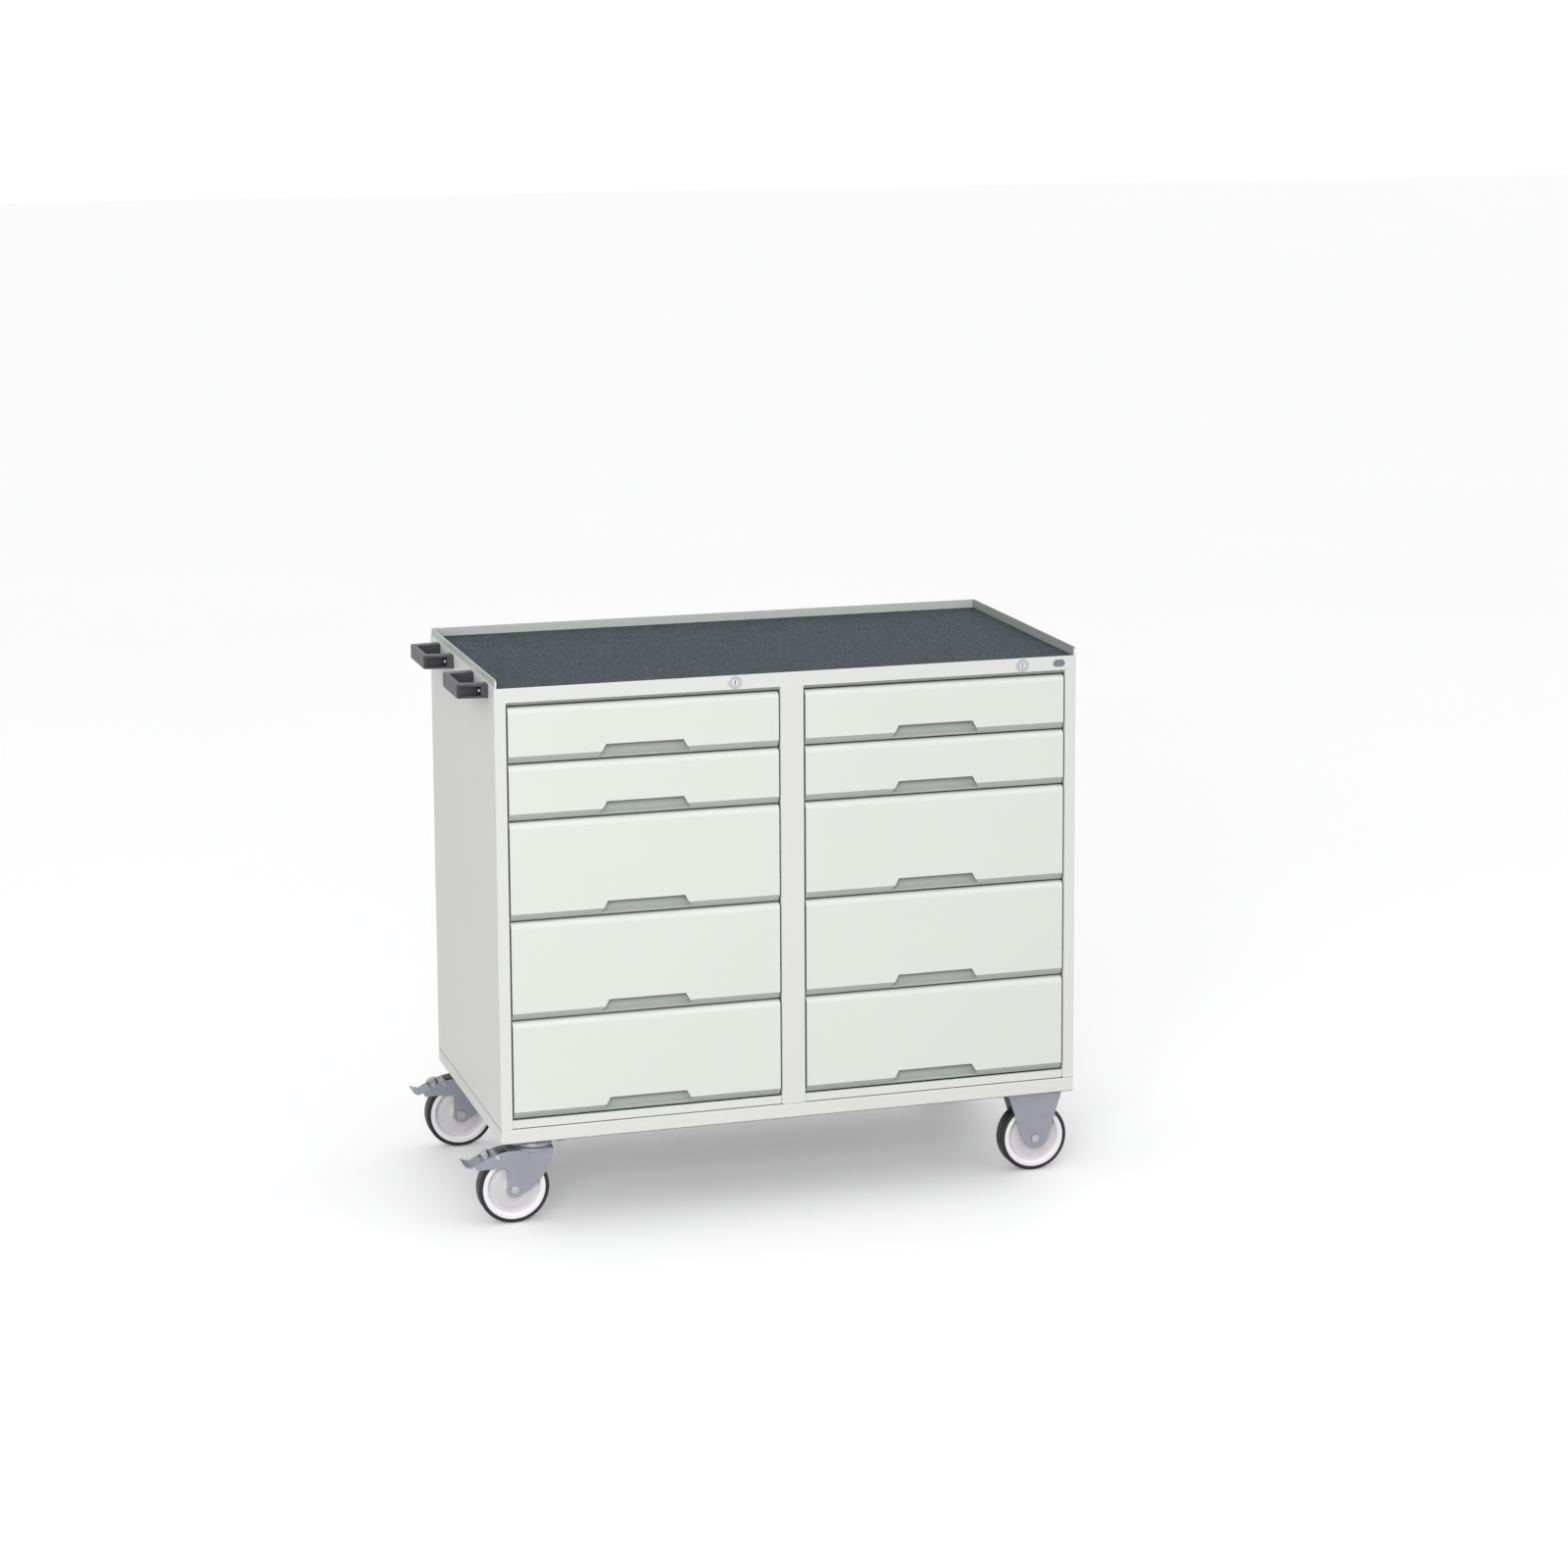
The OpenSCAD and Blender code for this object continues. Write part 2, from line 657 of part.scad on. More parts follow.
// The pedal: a bent plate between the ears, a wider foot pad, and the shoe that bears on the tyre
module brake_pedal(y) {
    color("lightsteelblue") translate([cab_x - castor_x - trail, y, 0]) difference() {
        union() {
            along_y(2 * leg_in - 1) {
                polygon([pedal_high, [-27, 128], [-26, 124], [-30, 121.5], [-47, 117], [-66, 109.5],
                         [-74, 107.5], [-74, 110], pedal_low]);
                translate(pedal_pin) circle(5);
            }
            along_y(22) polygon([[-47, 117.5], [-47, 104.9], [-36, 114.6], [-34, 121.5]]);
            along_y(46) polygon([[-74, 107.5], [-80, 107.5], [-pedal_reach, 111.5], [-pedal_reach, 114],
                                 [-80, 110], [-74, 110]]);
        }
        translate([pedal_pin[0], 0, pedal_pin[1]]) bar_y(pin_r + run, -leg_out, leg_out);
    }
}

// The large hexagonal head on the pedal, with a washer face below and a domed top
module pedal_screw(y) {
    seat_x = -48;
    seat_z = pedal_low[1] + (seat_x - pedal_low[0]) * tan(pedal_slope) + run;
    color("white") translate([cab_x - castor_x - trail + seat_x, y, seat_z]) rotate([0, -pedal_slope, 0]) {
        cylinder(r = 10.5, h = 1.2);
        intersection() {
            cylinder(r = 10, h = 12, $fn = 6);
            rotate_extrude() polygon([[0, 0], [10.2, 0], [10.2, 8.4], [9, 10.2], [6, 11.5], [0, 12]]);
        }
    }
}

// Side view of a fixed fork's leg, which tapers down to the axle eye
module fixed_leg() {
    polygon([[-50, plate_z], [50, plate_z], [50, 143], [25, 66], [19, 52], [-19, 52], [-25, 66], [-50, 143]]);
    translate([0, axle_z]) circle(20);
}

// A fixed fork is pressed too, with the left part of each leg set back
module fixed_castor_forks() {
    color("lightsteelblue") translate([cab_x + castor_x, 0, 0]) for (y = SIDES)
        translate([0, y * castor_y, 0]) {
            castor_plate();
            difference() {
                for (s = SIDES) intersection() {
                    along_y(2 * (leg_out + 2)) fixed_leg();
                    linear_extrude(plate_z) leg_plan(s, -13, joggle);
                }
                translate([0, 0, axle_z]) bar_y(axle_r + run, -leg_out - 3, leg_out + 3);
            }
        }
}

module fixed_castor_axles() {
    color("silver") translate([cab_x + castor_x, 0, axle_z]) for (y = SIDES)
        translate([0, y * castor_y, 0]) wheel_axle(y, leg_out + joggle);
}

rim_r = 55.5;

module wheel(x, y) {
    color("white") translate([cab_x + x, y, axle_z]) rotate([90, 0, 0]) rotate_extrude($fn = 96)
        polygon(mirrored([[axle_r + run, -17.5], [15, -17.5], [17, -11], [44, -9], [47.5, -14.5],
                          [rim_r, -14.5]]));
}

module tyre(x, y) {
    color("black") translate([cab_x + x, y, axle_z]) rotate([90, 0, 0]) rotate_extrude($fn = 96)
        polygon(mirrored([[rim_r + run, -14.5], [57.5, -16], [60, -15.7], [61.8, -14], [tyre_r, -11]]));
}

left_side_panel();
right_side_panel();
back_panel();
centre_post();
floor_panel();
top_tray();
top_mat();
base_frame();
castor_crossmembers();
runner_uprights();
column_rails();
push_handle(front_handle_y);  // front_push_handle
push_handle(rear_handle_y);  // rear_push_handle
panel_fasteners();
lock_barrels();
blank_plate();
swivel_castor_plates();
fixed_castor_forks();
fixed_castor_axles();
castor_bolts();

for (side = [["left", -1], ["right", 1]]) {
    lock_plug(side[1]);
    lock_bar(side[1]);
    for (i = ROWS) {
        drawer_front(side[1], i);
        drawer_box(side[1], i);
    }
}

for (place = [["front", -castor_y], ["rear", castor_y]]) {
    swivel_fork(place[1]);
    swivel_axles(place[1]);
    brake_pedal(place[1]);
    pedal_screw(place[1]);
    for (end = [["_left", -castor_x - trail], ["_right", castor_x]]) {
        wheel(end[1], place[1]);
        tyre(end[1], place[1]);
    }
}
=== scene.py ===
# %% [markdown]
# # A mobile drawer bench
# The bench is folded from sheet steel and painted light grey. Two columns of five drawers sit under a
# tray top with a dark mat, and the whole stands on four castors. The shapes that carry and move come
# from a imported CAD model, the frame. This lesson gives them their finish: soft folded edges, paint,
# zinc, moulded plastic and rubber, and it lathes and scatters the small pieces.

# %% Load the frame and keep its box
import json
import math

import bmesh
import bpy
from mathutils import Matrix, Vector


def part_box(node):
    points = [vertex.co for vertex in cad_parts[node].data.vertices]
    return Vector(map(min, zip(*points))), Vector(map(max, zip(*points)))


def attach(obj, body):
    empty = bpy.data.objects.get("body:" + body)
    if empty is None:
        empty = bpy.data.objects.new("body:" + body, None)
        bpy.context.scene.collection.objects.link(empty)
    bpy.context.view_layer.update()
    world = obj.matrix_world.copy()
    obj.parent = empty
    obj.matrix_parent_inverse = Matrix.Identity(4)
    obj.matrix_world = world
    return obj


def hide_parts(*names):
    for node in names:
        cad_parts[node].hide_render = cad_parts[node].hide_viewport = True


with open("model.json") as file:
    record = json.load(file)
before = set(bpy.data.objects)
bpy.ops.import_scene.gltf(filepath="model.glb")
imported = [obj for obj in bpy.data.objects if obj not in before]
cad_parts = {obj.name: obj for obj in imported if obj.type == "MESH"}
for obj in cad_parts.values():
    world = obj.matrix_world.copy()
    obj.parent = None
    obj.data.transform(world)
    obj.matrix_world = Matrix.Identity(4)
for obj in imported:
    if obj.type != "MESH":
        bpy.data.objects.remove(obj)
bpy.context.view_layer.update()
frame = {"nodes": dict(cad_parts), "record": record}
MM = 0.001

# %% [markdown]
# ## Arithmetic on sockets
# Both materials and Geometry Nodes are built from maths. Wiring each Math node by hand hides the
# formula, so a small class wraps a socket and turns `+`, `-`, `*` and `/` into Math nodes. Every other
# node comes from one method, which takes the node's type, its settings and what goes in its sockets.


# %% A socket that can be used in a formula, and the graph it belongs to
class Socket:
    """One output of a node. Arithmetic on it adds Math nodes to its graph."""

    def __init__(self, graph, socket):
        self.graph = graph
        self.socket = socket

    def math(self, operation, first, second=0.0):
        return self.graph.node("ShaderNodeMath", {"operation": operation}, {0: first, 1: second})[0]

    def __add__(self, other):
        return self.math("ADD", self, other)

    def __radd__(self, other):
        return self.math("ADD", other, self)

    def __sub__(self, other):
        return self.math("SUBTRACT", self, other)

    def __rsub__(self, other):
        return self.math("SUBTRACT", other, self)

    def __mul__(self, other):
        return self.math("MULTIPLY", self, other)

    def __rmul__(self, other):
        return self.math("MULTIPLY", other, self)

    def __truediv__(self, other):
        return self.math("DIVIDE", self, other)


class Graph:
    """A node tree, with one method that makes any node."""

    def __init__(self, tree):
        self.tree = tree
        tree.nodes.clear()

    def node(self, kind, settings=None, values=None):
        made = self.tree.nodes.new(kind)
        for name, value in (settings or {}).items():
            if name == "stops":
                for index, (place, colour) in enumerate(value):
                    stops = made.color_ramp.elements
                    stop = stops[index] if index < 2 else stops.new(place)
                    stop.position = place
                    stop.color = colour
            else:
                setattr(made, name, value)
        for name, value in (values or {}).items():
            if isinstance(value, Socket):
                self.tree.links.new(value.socket, made.inputs[name])
            else:
                made.inputs[name].default_value = value
        return [Socket(self, output) for output in made.outputs if output.enabled]


print("sockets can be added, subtracted, multiplied and divided")

# %% [markdown]
# ## Finishes
# No finish here is one flat colour. Powder coat has a fine orange-peel skin and drifts a little in
# shade, zinc plate is cloudy, moulded plastic has a spark-eroded grain, and the mat is speckled. All
# patterns read Object coordinates in metres, so a scale of 900 gives features of about a millimetre.


# %% Colours, and a helper that starts a material
def rgb(*screen):
    """A colour of the screen, from 0 to 255, as linear light."""
    linear = [c / 255 / 12.92 if c <= 10 else ((c / 255 + 0.055) / 1.055) ** 2.4 for c in screen]
    return (*linear, 1.0)


def start_material(name, **constants):
    """A Principled material with its constants set on the shader's own sockets."""
    material = bpy.data.materials.new(name)
    material.use_nodes = True
    graph = Graph(material.node_tree)
    shader = material.node_tree.nodes.new("ShaderNodeBsdfPrincipled")
    output = material.node_tree.nodes.new("ShaderNodeOutputMaterial")
    material.node_tree.links.new(shader.outputs[0], output.inputs["Surface"])
    for socket, value in constants.items():
        shader.inputs[socket.replace("_", " ")].default_value = value
    place = graph.node("ShaderNodeTexCoord")[3]
    return material, graph, shader, place


def feed(graph, shader, **links):
    """Links what changes over the surface to the shader's sockets."""
    for socket, value in links.items():
        graph.tree.links.new(value.socket, shader.inputs[socket.replace("_", " ")])


def noise(graph, place, scale, detail=2.0, roughness=0.5):
    return graph.node("ShaderNodeTexNoise", {}, {"Vector": place, "Scale": scale, "Detail": detail,
                                                 "Roughness": roughness})[0]


def blend_colours(graph, factor, first, second):
    mix = graph.tree.nodes.new("ShaderNodeMix")
    mix.data_type = "RGBA"
    graph.tree.links.new(factor.socket, mix.inputs[0])
    for index, colour in ((6, first), (7, second)):
        if isinstance(colour, Socket):
            graph.tree.links.new(colour.socket, mix.inputs[index])
        else:
            mix.inputs[index].default_value = colour
    return Socket(graph, mix.outputs[2])


def bump(graph, height, strength, distance):
    values = {"Height": height, "Strength": strength, "Distance": distance}
    return graph.node("ShaderNodeBump", {}, values)[0]


def within(graph, place, low, high, soft):
    """1 deep inside a box and 0 outside it, with a soft edge on the inside."""
    mask = None
    for axis, along in enumerate(graph.node("ShaderNodeSeparateXYZ", {}, {"Vector": place})):
        off = along.math("ABSOLUTE", along - (low[axis] + high[axis]) / 2)
        depth = ((high[axis] - low[axis]) / 2 - off) / soft
        share = depth.math("MAXIMUM", depth.math("MINIMUM", depth, 1.0), 0.0)
        mask = share if mask is None else mask * share
    return mask


def shade_in_hollows(graph, place, colour, hollows):
    """Painted shade: a colour that darkens inside each hollow, given as (low, high, soft edge, colour)."""
    for low, high, soft, tint in hollows:
        colour = blend_colours(graph, within(graph, place, low, high, soft), colour, tint)
    return colour


print("white card reads", tuple(round(c, 3) for c in rgb(230, 230, 230)[:3]))


# %% [markdown]
# The spaces behind the drawer fronts, inside the tray's lips and along the seam above the base are boxes
# taken from the CAD. Inside them the paint turns to a darker tone, which is painted shade: it stands in
# for the shade that falls in these hollows.

# %% The hollows of the cabinet
front_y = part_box("left_drawer_front_1")[0].y
left_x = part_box("left_side_panel")[0].x
right_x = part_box("right_side_panel")[1].x
back_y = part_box("back_panel")[1].y
base_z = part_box("base_frame")[0].z
tray_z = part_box("top_mat")[0].z
tray_low, tray_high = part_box("top_tray")
# The cabinet's inside, behind the drawer fronts, where painted shade darkens the paint.
shut_low = (left_x + 1.0 * MM, front_y + 3.0 * MM, base_z + 1.0 * MM)
deep_low = (shut_low[0], front_y + 8.0 * MM, shut_low[2])
shut_high = (right_x - 1.0 * MM, back_y - 1.0 * MM, tray_z - 1.0 * MM)
# Painted shade inside the tray's lips, darker still on the right lip's inner face.
lip_low = (tray_low.x + 0.4 * MM, tray_low.y + 0.4 * MM, tray_z - 0.4 * MM)
lip_high = (tray_high.x - 0.4 * MM, tray_high.y - 0.4 * MM, tray_high.z + 1.0 * MM)
right_low = (tray_high.x - 6.0 * MM, *lip_low[1:])
# A band of painted shade along the seam where the side panels meet the base frame.
seam_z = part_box("base_frame")[1].z
seam_low = (left_x - 1.0 * MM, front_y + 0.6 * MM, seam_z - 1.8 * MM)
seam_high = (right_x + 1.0 * MM, back_y + 1.0 * MM, seam_z + 0.8 * MM)
TRAY_SHADE = [(lip_low, lip_high, 0.4 * MM, rgb(186, 192, 187)),
                (right_low, lip_high, 0.4 * MM, rgb(146, 152, 148))]
print("the cabinet is shut in over", round(shut_high[1] - shut_low[1], 3), "m")


# %% Powder coat, on the shell and on the drawer fronts
# The colour of painted shade, which darkens a face by the way it turns, most where it looks down.
PAINTED_SHADE_COLOUR = rgb(116, 122, 117)
SHADE_BELOW, SHADE_ABOVE, SHADE_SIDE, SHADE_TURNED_LEFT = 0.7, 0.1, 0.8, 0.3


def powder_coat(name, light, shade, grain_scale, gloss, hollows=()):
    material, graph, shader, place = start_material(name, IOR=1.5)
    cloud = noise(graph, place, 2.2, 3.0)
    peel = noise(graph, place, grain_scale, 2.0, 0.55)
    fleck = noise(graph, place, 2600.0, 1.0)
    colour = blend_colours(graph, cloud * 0.7 + fleck * 0.3, light, shade)
    # Painted shade: faces darken by the way they turn, and the colour darkens inside the hollows.
    thin = graph.node("ShaderNodeAttribute", {"attribute_name": "thin"})[2]
    colour = blend_colours(graph, thin, shade_in_hollows(graph, place, colour, hollows), PAINTED_SHADE_COLOUR)
    feed(graph, shader, Base_Color=colour, Roughness=gloss + cloud * 0.05 + peel * 0.08,
         Normal=bump(graph, peel + fleck * 0.25, 0.22, 0.00025))
    return material


# Painted shade on the shell: dark inside the cabinet, duller inside the tray's lips, grey along the base
# seam.
body_paint = powder_coat("light grey powder coat", rgb(234, 235, 231), rgb(228, 229, 225), 620.0, 0.40,
                         [(deep_low, shut_high, 2.0 * MM, rgb(84, 90, 86)), *TRAY_SHADE,
                          (seam_low, seam_high, 0.5 * MM, rgb(118, 122, 119))])
# Painted shade on a drawer front: it darkens where it lies behind its own face, in the gaps and grip.
front_paint = powder_coat("drawer front powder coat", rgb(235, 237, 231), rgb(230, 232, 226), 620.0, 0.40,
                          [(shut_low, shut_high, 9.0 * MM, rgb(172, 178, 172))])
inner_paint = powder_coat("inner grey coat", rgb(178, 181, 180), rgb(168, 171, 170), 500.0, 0.48)
print("three coats of paint")


# %% Zinc plate and bright steel
def zinc_plate():
    material, graph, shader, place = start_material("blue zinc plate", Metallic=0.74, IOR=1.5)
    cloud = noise(graph, place, 38.0, 4.0, 0.6)
    mist = noise(graph, place, 9.0, 2.0)
    grit = noise(graph, place, 1500.0, 2.0)
    tone = blend_colours(graph, cloud * 0.6 + mist * 0.4, rgb(162, 164, 173), rgb(146, 148, 157))
    feed(graph, shader, Base_Color=tone, Roughness=0.40 + cloud * 0.16 + grit * 0.05,
         Normal=bump(graph, grit + cloud * 0.5, 0.12, 0.0002))
    return material


def brushed_metal(name, light, shade, gloss, hollows=()):
    material, graph, shader, place = start_material(name, Metallic=1.0)
    haze = noise(graph, place, 60.0, 3.0)
    stretch = graph.node("ShaderNodeMapping", {}, {"Vector": place, "Scale": (300.0, 300.0, 4000.0)})[0]
    lines = noise(graph, stretch, 1.0, 2.0)
    tone = shade_in_hollows(graph, place, blend_colours(graph, haze, light, shade), hollows)
    feed(graph, shader, Base_Color=tone, Roughness=gloss + haze * 0.14 + lines * 0.08,
         Normal=bump(graph, lines, 0.08, 0.0001))
    return material


zinc = zinc_plate()
steel = brushed_metal("bright steel", rgb(198, 199, 203), rgb(172, 174, 180), 0.20)
plate_metal = brushed_metal("satin plate", rgb(134, 137, 142), rgb(116, 119, 124), 0.30)
plug_low, plug_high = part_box("left_lock_plug")
# Painted shade: the plug turns dark behind its face, inside the keyway.
keyway_low = (left_x, plug_low.y + 0.35 * MM, 0.0)
keyway_high = (right_x, plug_high.y, tray_high.z)
lock_chrome = brushed_metal("chromed lock", rgb(226, 227, 231), rgb(206, 208, 214), 0.12,
                            [(keyway_low, keyway_high, 0.6 * MM, rgb(38, 40, 44))])
print("zinc and three bright metals; the plug stands", round((plug_high.y - plug_low.y) / MM, 1), "mm deep")


# %% Mat, handle plastic, wheel plastic and tyre rubber
def mat_rubber():
    material, graph, shader, place = start_material("slate grey mat", IOR=1.5, Specular_IOR_Level=0.10)
    grain = graph.node("ShaderNodeTexVoronoi", {"feature": "F1"},
                       {"Vector": place, "Scale": 620.0, "Randomness": 1.0})[0]
    speck = noise(graph, place, 210.0, 4.0, 0.75)
    patch = noise(graph, place, 24.0, 3.0, 0.6)
    shade = blend_colours(graph, patch, rgb(62, 72, 77), rgb(72, 80, 87))
    pale = blend_colours(graph, (speck - 0.51) * 7.0, shade, rgb(98, 107, 113))
    colour = blend_colours(graph, (0.49 - speck) * 7.0, pale, rgb(44, 54, 60))
    feed(graph, shader, Base_Color=colour, Roughness=0.66 + speck * 0.14,
         Normal=bump(graph, speck - grain * 0.6, 0.45, 0.0005))
    return material


def moulded_plastic(name, light, shade, grain, gloss, depth, ring=None):
    """A moulded plastic. Where a turned piece's own "rim" attribute is 1, it takes the ring's colour."""
    material, graph, shader, place = start_material(name, IOR=1.48)
    tone = noise(graph, place, 30.0, 3.0)
    texture = noise(graph, place, grain, 2.0, 0.6)
    colour = blend_colours(graph, tone, light, shade)
    if ring:
        rim = graph.node("ShaderNodeAttribute", {"attribute_name": "rim"})[2]
        colour = blend_colours(graph, rim, colour, ring)
    feed(graph, shader, Base_Color=colour, Roughness=gloss + texture * 0.14 + tone * 0.05,
         Normal=bump(graph, texture, depth, 0.0003))
    return material


mat_finish = mat_rubber()
handle_plastic = moulded_plastic("dark grained plastic",
                                 rgb(62, 62, 69), rgb(50, 50, 57), 1100.0, 0.34, 0.32)
wheel_plastic = moulded_plastic("off-white wheel plastic",
                                rgb(222, 217, 221), rgb(212, 207, 211), 700.0, 0.30,
                                0.05, rgb(248, 246, 248))
tyre_rubber = moulded_plastic("black tyre rubber", rgb(30, 30, 32), rgb(22, 22, 24), 800.0, 0.42, 0.16)
print("mat, two plastics and a rubber")

# %% [markdown]
# ## Sheet pieces
# A CAD node arrives as loose triangles with knife-sharp edges. Real folds have a small radius, and the
# line of light along that radius is what tells the eye that the piece is steel. Each node's mesh is
# copied, its triangles are joined into whole faces, and a bevel modifier rounds every sharp edge.


# %% Joining a CAD node's triangles, rounding its edges, and handing it to the frame
def whole_faces(node):
    """A mesh copied from a CAD node, with its loose triangles joined into flat faces."""
    mesh = frame["nodes"][node].data.copy()
    build = bmesh.new()
    build.from_mesh(mesh)
    bmesh.ops.remove_doubles(build, verts=build.verts, dist=0.004 * MM)
    bmesh.ops.dissolve_limit(build, angle_limit=math.radians(0.6), verts=build.verts, edges=build.edges)
    build.to_mesh(mesh)
    build.free()
    mesh.materials.clear()
    return mesh


def smooth(mesh, sharp_angle=34.0):
    for polygon in mesh.polygons:
        polygon.use_smooth = True
    mesh.set_sharp_from_angle(angle=math.radians(sharp_angle))


def round_edges(piece, width, segments=2, sharp_angle=34.0):
    """Rounds the sharp edges of a piece with a bevel modifier."""
    bevel = piece.modifiers.new("rounded edges", "BEVEL")
    bevel.width = width
    bevel.segments = segments
    bevel.limit_method = "ANGLE"
    bevel.angle_limit = math.radians(sharp_angle)
    bevel.use_clamp_overlap = True
    flat = piece.modifiers.new("flat faces stay flat", "WEIGHTED_NORMAL")
    flat.mode = "FACE_AREA"
    flat.weight = 100
    flat.keep_sharp = True


def hand_over(piece, body, slot, *nodes):
    """The piece rides on a body and stands for some CAD nodes; the slot is not used."""
    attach(piece, body)
    if nodes:
        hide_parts(*nodes)
    return piece


def body_of(node):
    for body, members in frame["record"]["behaviour"]["bodies"].items():
        if node in members:
            return body
    raise KeyError(node)


def slot_of(node):
    return next(s["material_slot"] for s in frame["record"]["subparts"] if s["node"] == node)


def add_piece(name, mesh, material):
    mesh.materials.clear()
    mesh.materials.append(material)
    piece = bpy.data.objects.new(name, mesh)
    bpy.context.scene.collection.objects.link(piece)
    return piece


def painted_face_shade(mesh, thin_sides):
    """Stores on each face how much painted shade it takes: most underneath, and on the sides if asked."""
    thin = mesh.attributes.new("thin", "FLOAT", "FACE")
    for face in mesh.polygons:
        across, _, up = face.normal
        amount = max(0.0, -up) * SHADE_BELOW + max(0.0, up) * SHADE_ABOVE
        if thin_sides:
            amount += SHADE_SIDE if abs(across) > 0.95 else max(0.0, -across) * SHADE_TURNED_LEFT
        thin.data[face.index].value = min(amount, 1.0)


def dress(node, material, width, segments=2, sharp_angle=34.0):
    """A finished copy of a CAD node: whole faces, rounded edges and a material."""
    mesh = whole_faces(node)
    painted_face_shade(mesh, material == front_paint)
    smooth(mesh, sharp_angle)
    piece = add_piece(node + "_finished", mesh, material)
    round_edges(piece, width, segments, sharp_angle)
    return hand_over(piece, body_of(node), slot_of(node), node)


SHELL = ("left_side_panel", "right_side_panel", "back_panel", "centre_post", "floor_panel", "top_tray",
         "base_frame")
for node in SHELL:
    dress(node, body_paint, 0.7 * MM)
for node in ("castor_crossmembers", "runner_uprights"):
    dress(node, inner_paint, 0.5 * MM)
dress("column_rails", zinc, 0.4 * MM)
print(len(SHELL), "shell pieces with soft folds")

# %% [markdown]
# ## Drawers
# A drawer front is a folded pan with a finger grip pressed into its lower edge. Its outline is already
# exact, so it only needs its edges rounded. The box behind it is plain grey sheet.

# %% Drawer fronts and boxes
DRAWERS = [f"{side}_drawer_{{}}_{row}" for side in ("left", "right") for row in range(1, 6)]
for drawer in DRAWERS:
    dress(drawer.format("front"), front_paint, 0.7 * MM, 3, 25.0)
    dress(drawer.format("box"), inner_paint, 0.5 * MM)
print(len(DRAWERS), "drawers")

# %% [markdown]
# ## Mat
# The mat is a cut sheet of ribbed rubber. It lies flat in the tray, with a small radius at its edge.

# %% The mat
dress("top_mat", mat_finish, 0.8 * MM, 3)
low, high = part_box("top_mat")
print("mat", round(high.x - low.x, 3), "by", round(high.y - low.y, 3), "m")

# %% [markdown]
# ## Turned pieces
# Wheels, tyres and rivets are bodies of revolution. On the real bench they are moulded or headed in
# round tools, so one outline fixes the whole shape. A Geometry Nodes tree does the same here: it takes
# the outline from the piece's own mesh, rounds each corner by the amount stored on its point, and
# sweeps it round a circle.


# %% A Geometry Nodes tree with named inputs, and a function that runs it once
def node_tree(name, **inputs):
    """A Geometry Nodes tree with named inputs, and its Graph, group input and group output."""
    tree = bpy.data.node_groups.new(name, "GeometryNodeTree")
    graph = Graph(tree)
    tree.interface.new_socket("Geometry", in_out="INPUT", socket_type="NodeSocketGeometry")
    tree.interface.new_socket("Geometry", in_out="OUTPUT", socket_type="NodeSocketGeometry")
    for label, kind in inputs.items():
        tree.interface.new_socket(label.replace("_", " "), in_out="INPUT", socket_type="NodeSocket" + kind)
    given = {output.name: Socket(graph, output) for output in tree.nodes.new("NodeGroupInput").outputs}
    return tree, graph, given


def close_tree(graph, geometry, material):
    """Ends a tree in Realize Instances and Set Material."""
    real = graph.node("GeometryNodeRealizeInstances", {}, {"Geometry": geometry})[0]
    done = graph.node("GeometryNodeSetMaterial", {}, {"Geometry": real, "Material": material})[0]
    end = graph.tree.nodes.new("NodeGroupOutput")
    graph.tree.links.new(done.socket, end.inputs[0])


def run_tree(name, mesh, tree, **values):
    """The plain mesh that a tree makes from a mesh, with its faces turned outwards."""
    carrier = bpy.data.objects.new(name + " carrier", mesh)
    bpy.context.scene.collection.objects.link(carrier)
    modifier = carrier.modifiers.new(tree.name, "NODES")
    modifier.node_group = tree
    for item in tree.interface.items_tree:
        key = item.name.replace(" ", "_")
        if item.in_out == "INPUT" and key in values:
            modifier[item.identifier] = values[key]
    ready = carrier.evaluated_get(bpy.context.evaluated_depsgraph_get())
    made = bpy.data.meshes.new_from_object(ready)
    bpy.data.objects.remove(carrier)
    if not made.polygons:
        raise RuntimeError(name + " came out of its tree with no faces")
    build = bmesh.new()
    build.from_mesh(made)
    bmesh.ops.remove_doubles(build, verts=build.verts, dist=0.001 * MM)
    bmesh.ops.recalc_face_normals(build, faces=build.faces)
    build.to_mesh(made)
    build.free()
    made.name = name
    return made


def lathe_tree():
    tree, graph, given = node_tree("lathe", Turning_radius="Float", Steps="Int", Centre="Vector",
                                   Turn="Vector", Finish="Material")
    outline = graph.node("GeometryNodeMeshToCurve", {}, {"Mesh": given["Geometry"]})[0]
    corner = graph.node("GeometryNodeInputNamedAttribute", {"data_type": "FLOAT"}, {"Name": "corner"})[0]
    soft = graph.node("GeometryNodeFilletCurve", {"mode": "POLY"},
                      {"Curve": outline, "Radius": corner, "Limit Radius": True, "Count": 4})[0]
    ring = graph.node("GeometryNodeCurvePrimitiveCircle", {"mode": "RADIUS"},
                      {"Resolution": given["Steps"], "Radius": given["Turning radius"]})[0]
    swept = graph.node("GeometryNodeCurveToMesh", {}, {"Curve": ring, "Profile Curve": soft})[0]
    placed = graph.node("GeometryNodeTransform", {},
                        {"Geometry": swept, "Translation": given["Centre"], "Rotation": given["Turn"]})[0]
    close_tree(graph, placed, given["Finish"])
    return tree


LATHE = lathe_tree()


RIM_R = 45.0
TYRE_SEAT_R = 55.45


